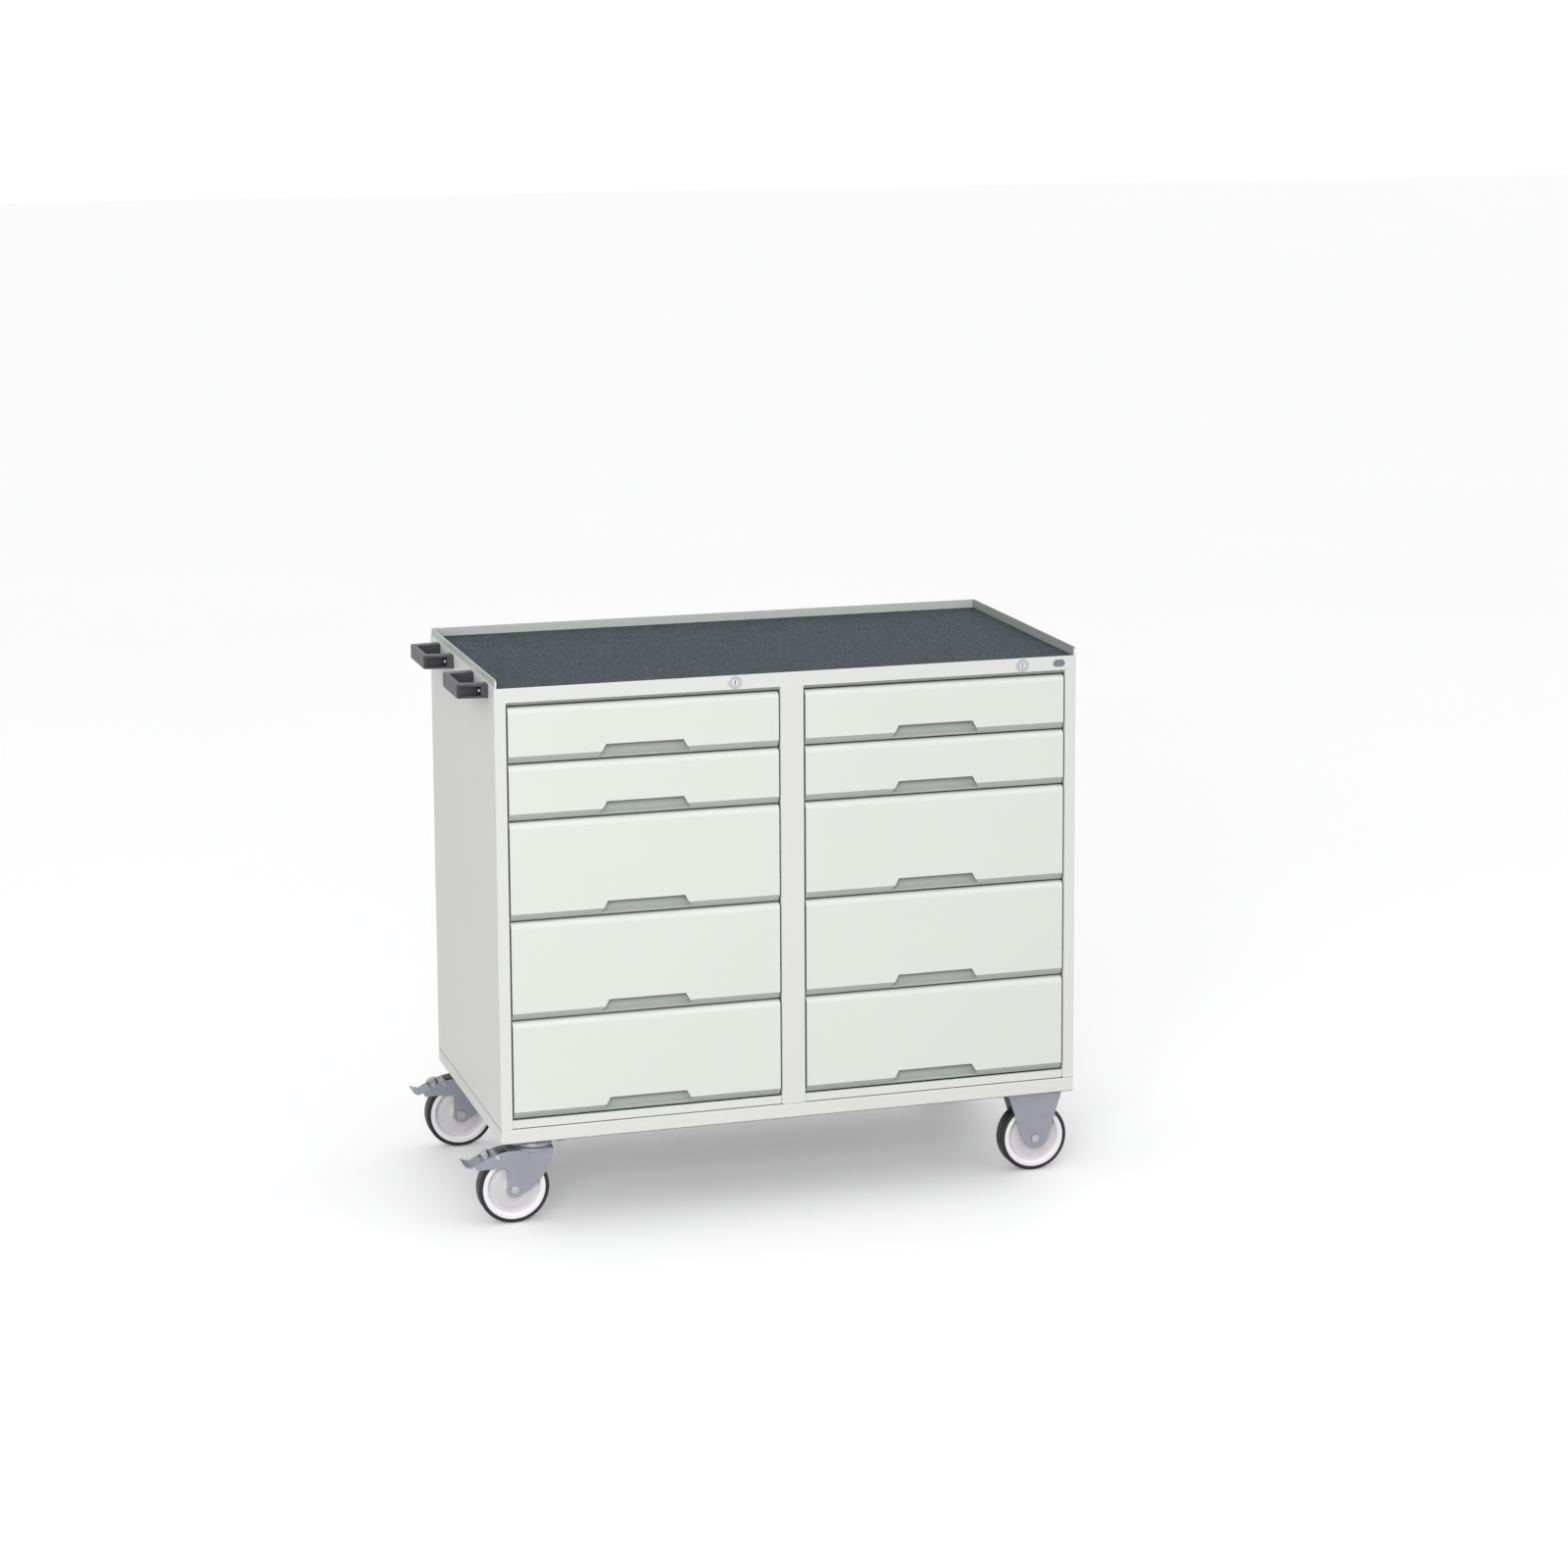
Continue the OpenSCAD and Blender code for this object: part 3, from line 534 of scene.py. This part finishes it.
def outline_mesh(points, turning_radius):
    """A closed outline of (radius, distance along the axis, corner radius), in millimetres."""
    mesh = bpy.data.meshes.new("outline")
    count = len(points)
    mesh.from_pydata([((radius - turning_radius) * MM, along * MM, 0.0) for radius, along, _ in points],
                     [(i, (i + 1) % count) for i in range(count)], [])
    corner = mesh.attributes.new("corner", "FLOAT", "POINT")
    rim = mesh.attributes.new("rim", "FLOAT", "POINT")
    for i, point in enumerate(points):
        corner.data[i].value = point[2] * MM
        rim.data[i].value = float(RIM_R < point[0] < TYRE_SEAT_R)
    return mesh


def mirrored(points):
    """An outline's half, and the same half on the other side of the middle plane."""
    return points + [(radius, -along, corner) for radius, along, corner in reversed(points)]


def turned(name, points, centre, turn, material, steps=96):
    turning_radius = sum(point[0] for point in points) / len(points)
    mesh = run_tree(name, outline_mesh(points, turning_radius), LATHE, Turning_radius=turning_radius * MM,
                    Steps=steps, Centre=centre, Turn=turn, Finish=material)
    smooth(mesh, 40.0)
    return mesh


ACROSS_Y = (math.pi / 2, 0.0, 0.0)
print("lathe tree with", len(LATHE.nodes), "nodes")

# %% [markdown]
# ## Wheels and tyres
# A wheel is an injection-moulded disc: a bright raised ring at the rim, a dished web that is thinner
# than the hub, and a shallow step where the mould's core ended. The rubber tyre is moulded round it,
# with a flat tread and soft shoulders. The outline holds half of each section, in millimetres.

# %% Wheels and tyres from the lathe
WHEELS = ("front_left", "rear_left", "front_right", "rear_right")
WHEEL_HALF = [(6.1, -17.4, 0.4), (13.5, -17.4, 1.2), (15.5, -12.5, 2.0), (22.0, -10.6, 2.5),
              (36.0, -9.6, 1.5),
              (37.2, -8.9, 1.0), (43.0, -8.6, 3.0), (46.6, -13.6, 2.0), (48.6, -15.1, 1.2),
              (55.4, -15.1, 0.9),
              (55.4, -12.0, 0.2)]
TYRE_HALF = [(55.5, -14.0, 0.2), (56.4, -16.1, 0.6), (59.2, -16.0, 1.2), (62.5, -12.6, 3.2)]

for wheel in WHEELS:
    low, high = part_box(wheel + "_tyre")
    centre = (low + high) / 2
    disc = turned(wheel + " wheel", mirrored(WHEEL_HALF), centre, ACROSS_Y, wheel_plastic)
    hand_over(add_piece(wheel + "_wheel_turned", disc, wheel_plastic), body_of(wheel + "_wheel"),
              slot_of(wheel + "_wheel"), wheel + "_wheel")
    ring = turned(wheel + " tyre", mirrored(TYRE_HALF), centre, ACROSS_Y, tyre_rubber)
    hand_over(add_piece(wheel + "_tyre_turned", ring, tyre_rubber), body_of(wheel + "_tyre"),
              slot_of(wheel + "_tyre"), wheel + "_tyre")
    print(wheel, "tyre", round((high - low).x * 1000, 1), "mm across,", len(ring.polygons), "faces")

# %% [markdown]
# ## Fasteners
# Bolts, screws and rivets are bought by the box, so each kind is modelled once and scattered. The
# second tree puts a copy of a template on each point of a mesh. The points come from the CAD: every
# loose island of a node is one fastener, and its box gives the place.


# %% A scatter tree, and the places of a node's loose islands
def scatter_tree():
    tree, graph, given = node_tree("scatter", Template="Object", Turn="Rotation", Finish="Material")
    # The last output is the geometry; the ones before it are the template's place, turn and size.
    shape = graph.node("GeometryNodeObjectInfo", {}, {"Object": given["Template"]})[-1]
    points = graph.node("GeometryNodeMeshToPoints", {}, {"Mesh": given["Geometry"]})[0]
    copies = graph.node("GeometryNodeInstanceOnPoints", {},
                        {"Points": points, "Instance": shape, "Rotation": given["Turn"]})[0]
    close_tree(graph, copies, given["Finish"])
    return tree


SCATTER = scatter_tree()


def islands(node):
    """The box of each loose island of a CAD node, as (lowest corner, highest corner)."""
    build = bmesh.new()
    build.from_mesh(frame["nodes"][node].data)
    bmesh.ops.remove_doubles(build, verts=build.verts, dist=0.004 * MM)
    left = set(build.verts)
    found = []
    while left:
        stack = [left.pop()]
        island = list(stack)
        while stack:
            for edge in stack.pop().link_edges:
                for vert in edge.verts:
                    if vert in left:
                        left.remove(vert)
                        stack.append(vert)
                        island.append(vert)
        found.append((Vector([min(v.co[axis] for v in island) for axis in range(3)]),
                      Vector([max(v.co[axis] for v in island) for axis in range(3)])))
    build.free()
    return sorted(found, key=lambda box: tuple(round(c, 4) for c in box[0]))


def scattered(name, places, template, material, turn=(0.0, 0.0, 0.0)):
    """One mesh that holds a copy of a template mesh at each place."""
    model = bpy.data.objects.new(name + " template", template)
    points = bpy.data.meshes.new(name + " places")
    points.from_pydata([tuple(place) for place in places], [], [])
    made = run_tree(name, points, SCATTER, Template=model, Turn=turn, Finish=material)
    bpy.data.objects.remove(model)
    smooth(made, 32.0)
    return made


print("scatter tree with", len(SCATTER.nodes), "nodes")


# %% Templates: a hexagonal head, a socket screw's head and a rivet's dome, all standing on Z
def extruded_ring(build, sides, rings, turn=0.0):
    """Joins rings of vertices, each given as (radius, height); a radius of None repeats the last ring."""
    loops = []
    for radius, height in rings:
        loops.append([build.verts.new((radius * MM * math.cos(turn + 2 * math.pi * i / sides),
                                       radius * MM * math.sin(turn + 2 * math.pi * i / sides), height * MM))
                      for i in range(sides)])
    for lower, upper in zip(loops, loops[1:]):
        for i in range(sides):
            build.faces.new((lower[i], lower[(i + 1) % sides], upper[(i + 1) % sides], upper[i]))
    build.faces.new(list(reversed(loops[0])))
    build.faces.new(loops[-1])


def solid_of_rings(name, *stacks):
    """A mesh of one or more stacks of rings, each given as (sides, [(radius, height), ...])."""
    build = bmesh.new()
    for sides, rings in stacks:
        extruded_ring(build, sides, rings)
    bmesh.ops.recalc_face_normals(build, faces=build.faces)
    mesh = bpy.data.meshes.new(name)
    build.to_mesh(mesh)
    build.free()
    return mesh


def hex_bolt(head_r, head_h, shank_r, length):
    """A bolt whose head hangs below its seat at height 0, with a washer face and a chamfered rim."""
    return solid_of_rings("hexagonal bolt",
                          (6, [(head_r * 0.9, -head_h), (head_r, -head_h + 0.6),
                               (head_r, -0.5), (head_r, -0.4)]),
                          (24, [(head_r * 0.86, -0.45), (head_r * 0.86, 0.0)]),
                          (24, [(shank_r, -0.2), (shank_r, length - 0.8), (shank_r - 0.7, length)]))


def hex_nut(nut_r, nut_h):
    return solid_of_rings("hexagonal nut", (6, [(nut_r * 0.92, 0.0), (nut_r, 0.5), (nut_r, nut_h - 0.5),
                                                (nut_r * 0.92, nut_h)]))


def socket_head(head_r, head_h):
    """A socket screw's head that stands on Z, with a round hollow in its top."""
    return solid_of_rings("socket head", (6 * 4, [(head_r, 0.0), (head_r, head_h - 0.5),
                                                  (head_r - 0.5, head_h),
                                                  (head_r * 0.56, head_h), (head_r * 0.5, head_h - 0.2),
                                                  (head_r * 0.5, head_h - 1.8)]))


print("templates for bolts, nuts, screws and rivets")

# %% Castor bolts, with their nuts on top of the crossmembers
bolt_boxes = islands("castor_bolts")
low, high = bolt_boxes[0]
plate_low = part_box("swivel_castor_plates")[1].z - 4 * MM
middles = [((low + high) / 2).to_2d().to_3d() for low, high in bolt_boxes]
heads = scattered("castor bolts", [m + Vector((0, 0, plate_low)) for m in middles],
                  hex_bolt(7.5, 5.3, 4.0, (high.z - plate_low) / MM + 2.0), zinc)
hand_over(add_piece("castor_bolts_scattered", heads, zinc), "cabinet", "zinc", "castor_bolts")
nuts = scattered("castor nuts", [m + Vector((0, 0, high.z - 6.5 * MM)) for m in middles],
                 hex_nut(7.5, 6.5), zinc)
hand_over(add_piece("castor_nuts_scattered", nuts, zinc), "cabinet", "zinc")
print(len(middles), "castor bolts")

# %% Handle screws and the back panel's rivets
fastener_boxes = islands("panel_fasteners")
rivet_places = [Vector(((low.x + high.x) / 2, back_y, (low.z + high.z) / 2)) for low, high in fastener_boxes
                if high.y > back_y]
screw_boxes = [(low, high) for low, high in fastener_boxes if high.y < back_y]
RIVET = [(0.02, 0.0, 0.0), (4.0, 0.0, 0.2), (3.9, 0.5, 0.5), (2.6, 1.35, 1.0), (0.02, 1.6, 0.3)]
rivet = turned("rivet", RIVET, (0, 0, 0), (math.pi / 2, 0, 0), steel, 24)
rivets = scattered("rivets", rivet_places, rivet, steel)
hand_over(add_piece("rivets_scattered", rivets, steel), "cabinet", "bright_steel", "panel_fasteners")
screws = scattered("handle screws", [Vector((low.x + 3 * MM, (low.y + high.y) / 2, (low.z + high.z) / 2))
                                     for low, high in screw_boxes], socket_head(5.0, 3.0), steel,
                   (0.0, -math.pi / 2, 0.0))
hand_over(add_piece("handle_screws_scattered", screws, steel), "cabinet", "bright_steel")
nuts = scattered("handle nuts", [Vector((high.x - 3 * MM, (low.y + high.y) / 2, (low.z + high.z) / 2))
                                 for low, high in screw_boxes], hex_nut(5.5, 2.0), steel,
                 (0.0, math.pi / 2, 0.0))
hand_over(add_piece("handle_nuts_scattered", nuts, steel), "cabinet", "bright_steel")
print(len(rivet_places), "rivets and", len(screw_boxes), "handle screws")

# %% [markdown]
# ## Handles
# The push handles are moulded in dark plastic. Their corners are rounder than the steel's, because a
# hand closes round them and because the mould needs draft.

# %% Push handles
for node in ("front_push_handle", "rear_push_handle"):
    dress(node, handle_plastic, 1.4 * MM, 3)

# %% [markdown]
# ## Locks and the blank plate
# A cam lock is a chromed zinc casting with a brass plug. The face is bright, with a ring pressed round
# the keyway. The oval plate beside it is left blank.

# %% Locks, lock bars and the blank plate
for node in ("lock_barrels", "left_lock_plug", "right_lock_plug"):
    dress(node, lock_chrome if "plug" in node else steel, 0.45 * MM, 3)
dress("blank_plate", plate_metal, 0.3 * MM, 3)
for node in ("left_lock_bar", "right_lock_bar"):
    dress(node, zinc, 0.25 * MM)

# %% [markdown]
# ## Castor forks and pedals
# Forks, plates and pedals are pressed from 3 mm sheet and zinc plated. The press rolls their edges
# over a little, and the plating is matt and slightly blue.

# %% Castor steelwork
for node in ("swivel_castor_plates", "fixed_castor_forks", "front_swivel_fork", "rear_swivel_fork",
             "front_brake_pedal", "rear_brake_pedal"):
    dress(node, zinc, 0.8 * MM, 3)
for node in ("fixed_castor_axles", "front_swivel_axles", "rear_swivel_axles", "front_pedal_screw",
             "rear_pedal_screw"):
    dress(node, steel, 0.6 * MM, 3)
print("castors")

# %% [markdown]
# ## Stage
# A pale floor, white surroundings and one large soft light, which stands in front and to the left.
# The camera looks down a little, and its picture is moved slightly so that upright edges stay
# nearly upright.


# %% Floor and light
def make_floor():
    mesh = bpy.data.meshes.new("floor")
    mesh.from_pydata([(-30, -30, 0), (30, -30, 0), (30, 30, 0), (-30, 30, 0)], [], [(0, 1, 2, 3)])
    glow = {"Emission Color": rgb(255, 255, 255), "Emission Strength": 0.12}
    material, graph, shader, place = start_material("pale floor", Roughness=0.6, **glow)
    tone = noise(graph, place, 0.8, 2.0)
    feed(graph, shader, Base_Color=blend_colours(graph, tone, rgb(253, 253, 253), rgb(250, 250, 250)))
    floor = add_piece("floor", mesh, material)
    return floor


def soft_light(name, place, aim, size, power):
    light = bpy.data.lights.new(name, "AREA")
    light.shape = "SQUARE"
    light.size = size
    light.energy = power
    lamp = bpy.data.objects.new(name, light)
    lamp.location = place
    lamp.rotation_euler = (Vector(aim) - Vector(place)).to_track_quat("-Z", "Y").to_euler()
    bpy.context.scene.collection.objects.link(lamp)
    return lamp


floor = make_floor()
floor.visible_diffuse = False


def make_world():
    """A white room that is darker below, so that faces which look down are shaded."""
    world = bpy.data.worlds.new("white room")
    world.use_nodes = True
    graph = Graph(world.node_tree)
    direction = graph.node("ShaderNodeTexCoord")[0]
    height = graph.node("ShaderNodeSeparateXYZ", {}, {"Vector": direction})[2]
    stops = [(0.39, rgb(44, 47, 48)), (0.467, rgb(255, 255, 255)), (0.62, rgb(255, 255, 255)),
             (0.8, rgb(218, 218, 219)), (1.0, rgb(196, 196, 198))]
    shade = graph.node("ShaderNodeValToRGB", {"stops": stops}, {"Fac": height * 0.5 + 0.5})[0]
    background = world.node_tree.nodes.new("ShaderNodeBackground")
    sideways = graph.node("ShaderNodeSeparateXYZ", {}, {"Vector": direction})[0]
    graph.tree.links.new((sideways * 0.15 + 1.2).socket, background.inputs["Strength"])
    graph.tree.links.new(shade.socket, background.inputs["Color"])
    output = world.node_tree.nodes.new("ShaderNodeOutputWorld")
    graph.tree.links.new(background.outputs[0], output.inputs["Surface"])
    bpy.context.scene.world = world


make_world()
bpy.context.scene.view_settings.view_transform = "Standard"
middle = (0.0, 0.0, 0.5)
soft_light("key", (-2.4, -5.2, 2.3), middle, 2.4, 135.0)
print("stage lit")

# %% Camera
stand = Vector((-1.812, -6.562, 2.156))
heading = 0.3174
tilt = 0.1591
toward = Vector((math.sin(heading) * math.cos(tilt), math.cos(heading) * math.cos(tilt), -math.sin(tilt)))
camera_data = bpy.data.cameras.new("camera")
camera_data.lens = 88.24
camera_data.shift_x = -0.083
camera_data.shift_y = -0.128
camera_data.sensor_width = 36.0
camera = bpy.data.objects.new("camera", camera_data)
camera.location = stand
camera.rotation_euler = toward.to_track_quat("-Z", "Y").to_euler()
bpy.context.scene.collection.objects.link(camera)
bpy.context.scene.camera = camera
print("camera at", tuple(round(c, 3) for c in camera.location))
